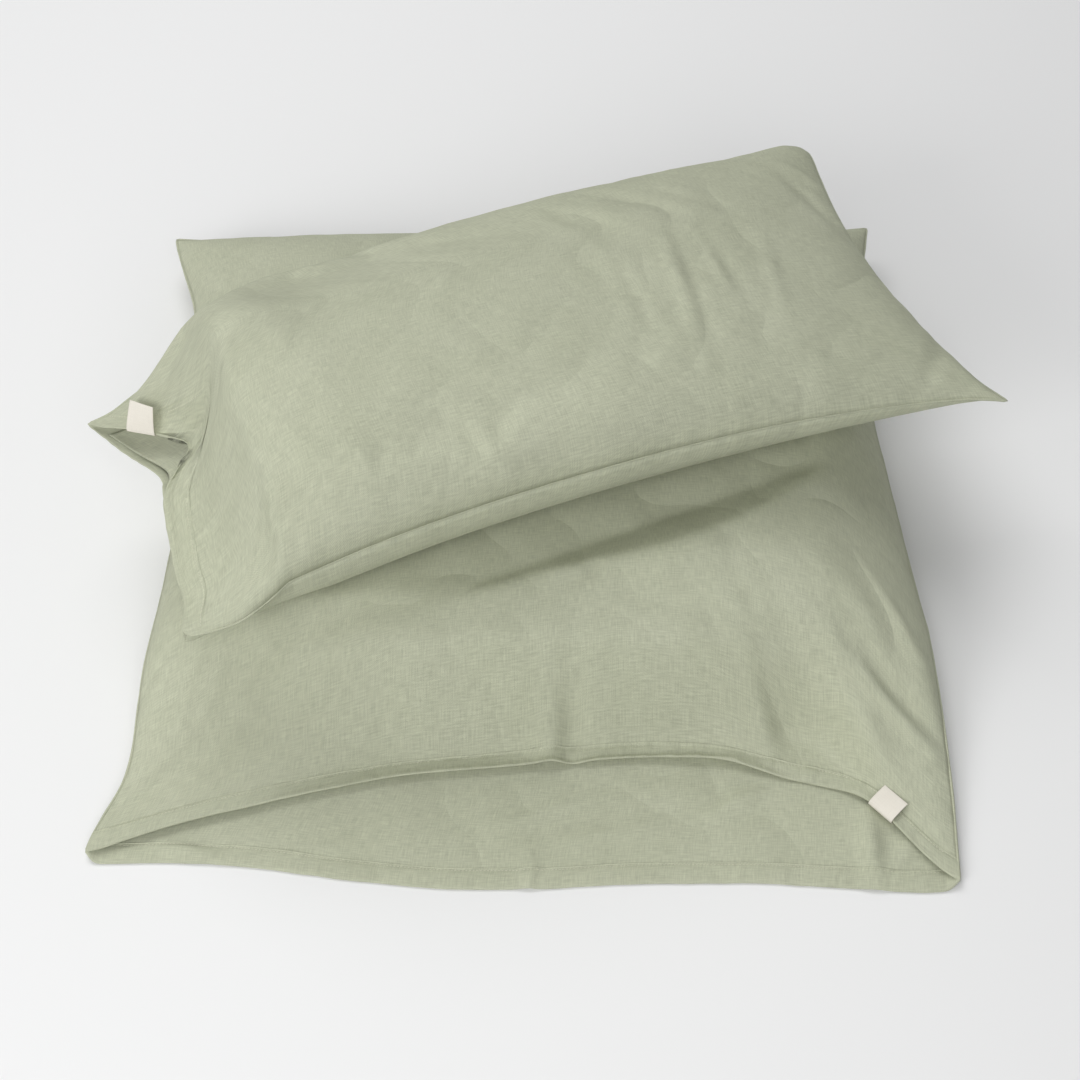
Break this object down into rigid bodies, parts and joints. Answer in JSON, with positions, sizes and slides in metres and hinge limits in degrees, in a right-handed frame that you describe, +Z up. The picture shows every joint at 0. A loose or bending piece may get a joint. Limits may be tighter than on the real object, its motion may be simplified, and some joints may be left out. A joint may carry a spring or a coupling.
{
  "type": "duvet and pillow in linen covers",
  "caption": "Small square duvet in an open-mouthed linen cover, with an oblong pillow in its matching case lying across it; the pillow lifts off.",
  "frame": {"origin": "centre of the whole's box at the surface it lies on", "axes": "+Z up; the duvet cover's mouth faces -Y, its closed foot +Y; the pillow's mouth is towards -X"},
  "size_m": [0.8564, 0.7772, 0.3357],
  "materials": {
    "linen": "matte woven",
    "linen_thread": "satin thread",
    "label_tape": "satin tape",
    "cotton": "matte woven",
    "filling": "loose fibre"
  },
  "bodies": {
    "duvet": {"cover_top_panel": "linen", "cover_bottom_panel": "linen", "cover_left_seam": "linen", "cover_right_seam": "linen", "cover_foot_seam": "linen", "cover_top_hem_thread": "linen_thread", "cover_bottom_hem_thread": "linen_thread", "cover_label": "label_tape", "duvet_top_shell": "cotton", "duvet_bottom_shell": "cotton", "duvet_piping": "cotton", "duvet_baffles": "cotton", "duvet_filling_1_1": "filling", "duvet_filling_1_2": "filling", "duvet_filling_1_3": "filling", "duvet_filling_2_1": "filling", "duvet_filling_2_2": "filling", "duvet_filling_2_3": "filling", "duvet_filling_3_1": "filling", "duvet_filling_3_2": "filling", "duvet_filling_3_3": "filling"},
    "pillow": {"pillowcase_top_panel": "linen", "pillowcase_bottom_panel": "linen", "pillowcase_back_seam": "linen", "pillowcase_front_seam": "linen", "pillowcase_end_seam": "linen", "pillowcase_inner_flap": "linen", "pillowcase_top_hem_thread": "linen_thread", "pillowcase_bottom_hem_thread": "linen_thread", "pillowcase_label": "label_tape", "pillow_top_shell": "cotton", "pillow_bottom_shell": "cotton", "pillow_piping": "cotton", "pillow_filling": "filling"}
  },
  "joints": [
    {"name": "pillow_lift", "type": "slide", "parent": "duvet", "child": "pillow", "axis": [0, 0, 1], "range_m": [0, 0.3]}
  ]
}
